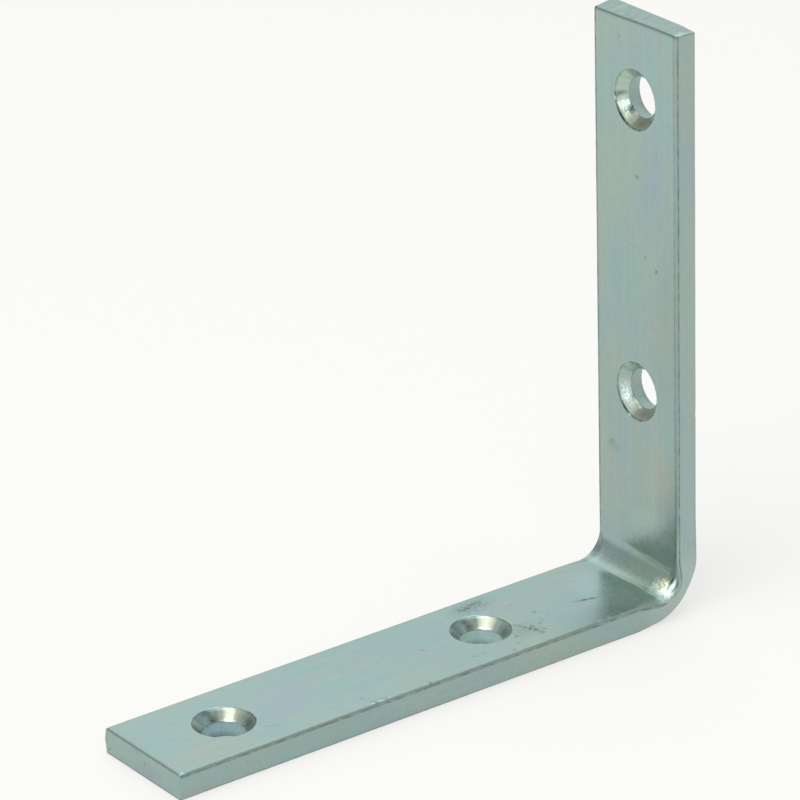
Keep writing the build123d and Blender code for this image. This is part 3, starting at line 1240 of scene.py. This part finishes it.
# %% Ends, worn edges and the finish of the strip
worn_tint = (0.56, 0.57, 0.42, 1)
to_end = along.at_most(strip_length - along)
end_line = to_end.ease(0.15, 0.5, 1.0, 0.0) * (1.0 - on_side)
tone *= 1.0 - 0.28 * end_line
outermost = from_middle.ease(outer_edge_place - 0.32, outer_edge_place + 0.08)
# Painted shade along the outer edge at both ends.
outer_end_shade = to_end.ease(0.2, 0.6, 1.0, 0.0) * outermost
tone *= 1.0 - 0.6 * outer_end_shade
off_lip = along.near(bend_middle, 8.0).ease(0.0, 0.6, 1.0, 0.0)
# Worn zinc along the edges, partly a painted sheen of the rounded edge.
worn_edge_and_sheen = from_middle.near(edge_start + 0.03 + 0.2 * on_upright, 0.34) * off_lip
on_straight_upright = along.ease(bend_end, bend_end + 10.0)
worn_share = 0.08 + 0.34 * edge_noise + 0.3 * along.near(bend_start - 7.0, 18.0)
worn_share *= 1.0 - 0.6 * on_straight_upright
tone *= 1.0 - 0.1 * worn_edge_and_sheen * on_straight_upright
colour = blend(tree, worn_share * worn_edge_and_sheen, colour, worn_tint)

roughness = 0.26 + 0.05 * fine + 0.1 * worn_edge_and_sheen + 0.3 * marks + 0.06 * lip
height = 0.0007 * blotches(tree, place, 0.9, 0.6, 5.0) + 0.001 * drawn
height += 0.012 * worn_edge_and_sheen * edge_noise - 0.012 * marks + 0.022 * lip * sparkle
finish_off(tree, shader, colour, tone, roughness, height)
print("zinc_on_rolled_strip:", len(tree.nodes), "nodes")

# %% [markdown]
# ## Zinc in the countersinks
#
# The countersinking tool turned these cones bright before they were plated, so they are the glossiest
# surface. On this part of the map u goes round the hole and v runs down its profile, and the map of
# each hole starts 40 mm after the one before. So a place in one cone is an oval on the map, as on the
# strip. These tables hold the tints, the crystal grain with its painted glitter, the stains with painted
# shade, and the painted highlights and glints of the cones. A tint ends with its colour. The others end
# with a strength and, where one is turned, its turn.

# %% Places in the cones
cone_tints = {
    "pale_green_at_the_top": ((131.0, 1.7), (3.6, 3.0), (0.45, 0.57, 0.46, 1)),
    "cream_near_end": ((10.0, 1.7), (2.2, 2.4), (0.48, 0.52, 0.42, 1)),
    "cream_near_bend": ((50.0, 1.7), (2.2, 2.4), (0.48, 0.52, 0.42, 1)),
    "blue_left_near_end": ((14.0, 1.6), (3.2, 2.6), (0.37, 0.50, 0.52, 1)),
    "blue_left_near_bend": ((54.0, 1.6), (3.2, 2.6), (0.38, 0.51, 0.52, 1)),
    "teal_right_near_end": ((5.6, 1.8), (2.8, 2.6), (0.36, 0.50, 0.46, 1)),
    "teal_right_near_bend": ((45.6, 1.8), (2.8, 2.6), (0.38, 0.50, 0.46, 1)),
    "brown_at_the_top": ((138.4, 1.8), (2.4, 2.2), (0.47, 0.47, 0.36, 1)),
    "brown_low": ((98.6, 1.8), (2.4, 2.2), (0.48, 0.48, 0.38, 1)),
    "teal_below_at_the_top": ((142.0, 1.8), (2.6, 2.2), (0.34, 0.47, 0.45, 1)),
    "teal_below_low": ((102.0, 1.8), (2.6, 2.2), (0.34, 0.47, 0.45, 1)),
}
crystals_everywhere = 0.012
# Places of coarse crystal grain, which also carries painted glitter there.
crystal_places = {
    "crystals_low_left": ((94.4, 1.8), (2.2, 1.8), 1.3),
    "crystals_top_left": ((134.9, 1.7), (1.8, 1.6), 1.1),
    "crystals_leg_near_end": ((13.0, 2.1), (1.3, 1.0), 0.25),
    "crystals_leg_near_bend": ((52.6, 2.1), (1.5, 1.0), 0.35),
}
# Real stains, and painted shade where a cone mirrors dark parts of the room and along its rim.
cone_stains_and_shade = {
    "smear_at_the_top": ((133.2, 1.5), (0.55, 1.7), 0.50, 8.0),
    "blot_at_the_top": ((135.7, 2.6), (1.0, 0.9), 0.95),
    "brown_below_at_the_top": ((138.6, 1.9), (2.2, 2.0), 0.42),
    "blot_low": ((95.0, 2.7), (0.9, 0.6), 0.60),
    "brown_below_low": ((99.0, 1.9), (2.0, 2.0), 0.30),
    "rim_at_the_top": ((135.6, 0.62), (2.8, 0.45), 0.65),
    "rim_low": ((95.6, 0.62), (2.8, 0.4), 0.55),
    "rim_near_end": ((2.6, 0.62), (4.6, 0.5), 0.60),
    "rim_near_bend": ((42.6, 0.62), (4.6, 0.5), 0.60),
    "dark_right_near_end": ((6.7, 1.9), (1.9, 2.0), 0.62),
    "dark_left_near_end": ((12.6, 2.4), (1.1, 1.0), 0.62, -20.0),
    "blue_left_near_end": ((13.1, 1.2), (0.9, 0.7), 0.50, -30.0),
    "cream_near_end": ((10.2, 1.6), (1.9, 2.0), 0.20),
    "cream_near_bend": ((50.2, 1.6), (1.9, 2.0), 0.18),
    "dark_left_corner_near_end": ((17.2, 2.0), (1.2, 1.6), 0.50),
    "dark_left_near_bend": ((52.5, 2.3), (1.0, 1.1), 0.56),
    "second_dark_left_near_bend": ((52.9, 1.3), (0.9, 0.5), 0.40),
    "dark_right_near_bend": ((46.6, 2.1), (1.7, 1.8), 0.46),
}
# Painted highlights and glints in the cones.
cone_highlights = {
    "bead_at_the_top": ((133.6, 0.55), (0.32, 0.28), 1.1),
    "bead_low": ((96.9, 0.6), (0.32, 0.28), 1.2),
    "bead_at_the_bore_low": ((97.4, 2.6), (0.40, 0.34), 1.1),
    "cream_line_at_the_top": ((137.3, 2.0), (0.36, 1.6), 0.35),
    "crystal_light_at_the_top": ((134.7, 1.9), (1.7, 1.4), 0.65),
    "crystal_light_low": ((94.7, 2.0), (1.9, 1.3), 0.60),
    "rim_near_end": ((11.65, 0.72), (1.5, 0.45), 1.00),
    "rim_near_bend": ((51.4, 0.72), (1.9, 0.45), 1.10),
    "bore_edge_near_end": ((10.3, 2.80), (1.4, 0.36), 1.30),
    "bore_edge_near_bend": ((50.3, 2.80), (1.4, 0.36), 1.20),
}
print(len(cone_tints), "tints,", len(cone_stains_and_shade), "stains and", len(cone_highlights), "lights in the cones")

# %% [markdown]
# ## Zinc in the countersinks
#
# Tool rings are noise drawn out along u, and spokes are noise drawn out along v. Olive and green stains
# follow the angle. A crystal grain roughens the cone and carries painted glitter that breaks up the
# highlights. Stains and painted shade darken it, a line of painted shade follows the rim, and painted
# highlights come last.

# %% Zinc in the countersinks
cone_grey = (0.43, 0.53, 0.50, 1)
cone_olive = (0.45, 0.51, 0.44, 1)
cone_green = (0.40, 0.52, 0.49, 1)
rim_shade_tint = (0.34, 0.47, 0.45, 1)
tree, shader, place = new_finish("zinc_in_countersink")
_, down, _ = parts_of(tree, place)
colour = blend(tree, blotches(tree, place, 4.2, 9.0, 8.0), cone_grey, cone_olive)
colour = blend(tree, 0.5 * blotches(tree, place, 3.4, 5.0, 60.0), colour, cone_green)
for centre, half_size, tint in cone_tints.values():
    colour = blend(tree, oval(tree, place, centre, half_size), colour, tint)
rings = blotches(tree, place, 7.0, 0.16, 14.0)
spokes = blotches(tree, place, 0.9, 7.0, 29.0)
crystals = blotches(tree, place, 0.34, 0.34, 27.0)
crystal_grain_and_glitter = crystals * (crystals_everywhere + spots(tree, place, crystal_places.values()))
# The crystal grain is height for the bump and painted glitter in the tone.
tone = 0.9 + 0.05 * rings + 0.1 * spokes + 0.6 * crystal_grain_and_glitter
# Stains and painted shade darken the cone.
stain_and_shade = spots(tree, place, cone_stains_and_shade.values())
stain_and_shade *= 0.9 + 0.6 * crystals
# Painted shade: a darker teal line along the rim of the cone.
rim_place = inner_ring_radius - countersink_radius + 0.1
rim_line = down.near(rim_place, 0.3)
colour = blend(tree, 0.8 * rim_line, colour, rim_shade_tint)
stain_and_shade += rim_line * (0.04 + 0.3 * blotches(tree, place, 1.1, 9.0, 52.0))
tone *= 1.0 - stain_and_shade
# Painted highlights and glints.
tone += spots(tree, place, cone_highlights.values())
roughness = 0.2 + 0.07 * spokes
height = 0.001 * rings + 0.007 * spokes + 0.022 * crystal_grain_and_glitter
finish_off(tree, shader, colour, tone, roughness, height)
print("zinc_in_countersink:", len(tree.nodes), "nodes")

# %% [markdown]
# ## Zinc in the bores
#
# A punched bore is dull: the punch smeared and tore the steel along its axis, and less zinc reaches
# the wall. So its noise is fine round the hole and long down the hole, the finish is rough and the
# tint is a bluish grey, with painted shade towards the flare. The first two holes on the map are the
# leg's. They are bluer than the upright's and painted lighter, and the second one, next to the bend, is
# painted lightest and has less of the blue.

# %% Zinc in the bores
bore_grey = (0.45, 0.57, 0.59, 1)
bore_green = (0.46, 0.57, 0.53, 1)
bore_blue = (0.45, 0.60, 0.65, 1)
bore_metal_share = 0.45
second_hole_middle = 1.25 * hole_map_pitch
tree, shader, place = new_finish("zinc_in_bore")
around, down, _ = parts_of(tree, place)
colour = blend(tree, blotches(tree, place, 5.0, 5.0, 33.0), bore_grey, bore_green)
in_leg = around.ease(1.6 * hole_map_pitch, 1.9 * hole_map_pitch, 1.0, 0.0)
in_second_hole = abs(around - second_hole_middle).ease(11.0, 19.0, 1.0, 0.0)
colour = blend(tree, in_leg * (0.7 - 0.5 * in_second_hole), colour, bore_blue)
streaks = blotches(tree, place, 0.45, 3.2, 71.0)
# The leg's bores are painted lighter, the one next to the bend most.
tone = 0.94 + 0.1 * streaks + 0.1 * in_leg + 0.18 * in_second_hole
# Painted shade towards the flare, deep in the hole.
before_the_flare = cone_depth * 2**0.5 + 1.9
tone *= down.ease(before_the_flare, before_the_flare + 0.9, 1.0, 0.88)
shader.inputs["Metallic"].default_value = bore_metal_share
roughness = 0.55 + 0.08 * streaks
height = 0.003 * streaks
finish_off(tree, shader, colour, tone, roughness, height)
print("zinc_in_bore:", len(tree.nodes), "nodes")

# %% [markdown]
# ## Zinc on the sheared cuts
#
# A shear drags the metal down as it cuts, so the cut has fine streaks from top to bottom, with a
# few dark specks where the break tore. Here the map gives w across the cut and h up it. Both cuts share
# that map, so their height above the floor tells them apart: the leg's cut has a violet patch, and the
# upright's is greener, with a burr on its near corner that carries a painted glint, and one pale streak.
# The cut is darker towards its edges, and painted shade runs along its lower edge.

# %% Zinc on the sheared cuts
cut_violet = (0.33, 0.395, 0.45, 1)
top_cut_green = (0.345, 0.425, 0.395, 1)
tree, shader, place = new_finish("zinc_on_cut")
across, up, _ = parts_of(tree, place)
_, _, own_height = parts_of(tree, own_place(tree))
on_top = own_height.ease(0.05, 0.06)
colour = blend(tree, blotches(tree, place, 5.0, 3.0, 9.0), cyan_grey, green_grey)
violet = oval(tree, place, (-1.7, -1.1), (4.6, 2.2), -12.0) * (1.0 - on_top)
colour = blend(tree, violet, colour, cut_violet)
colour = blend(tree, 0.6 * on_top, colour, top_cut_green)
drag = blotches(tree, place, 0.30, 3.0, 17.0, detail=3.0)
dents = blotches(tree, place, 1.3, 0.9, 46.0)
tone = 0.92 + drag * (0.05 + 0.13 * on_top) + dents * (0.05 + 0.07 * on_top) - 0.11 * on_top
cut_specks = [
    ((-0.65, 0.4), (0.45, 0.5), 0.30),
    ((5.2, -1.0), (0.6, 0.3), 0.24),
    ((1.7, 1.7), (1.3, 0.6), 0.16),
    ((1.2, 1.3), (0.5, 0.3), 0.20),
]
tone -= spots(tree, place, cut_specks)
# Darker towards the edges of the cut, and painted shade along its lower edge.
to_face = abs(up).ease(1.75, 2.1)
to_side = abs(across).ease(9.6, 9.95)
lower_edge_shade = up.ease(-1.95, -1.65, 1.0, 0.0)
tone *= 1.0 - 0.25 * to_face.at_least(to_side)
tone *= 1.0 - 0.25 * lower_edge_shade
# A burr on the near corner of the top cut, carrying a painted glint.
burr_and_glint = oval(tree, place, (-9.4, 0.9), (0.9, 2.0))
pale_streak = oval(tree, place, (6.4, 0.0), (0.8, 2.6), -12.0)
tone += on_top * (0.6 * burr_and_glint + 0.16 * pale_streak)
roughness = 0.32 + 0.08 * dents
height = 0.0014 * drag + 0.004 * dents
finish_off(tree, shader, colour, tone, roughness, height)
print("zinc_on_cut:", len(tree.nodes), "nodes")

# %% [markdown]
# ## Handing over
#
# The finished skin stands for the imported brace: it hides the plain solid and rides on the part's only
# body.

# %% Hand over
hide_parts("corner_brace")
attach(brace, "root")
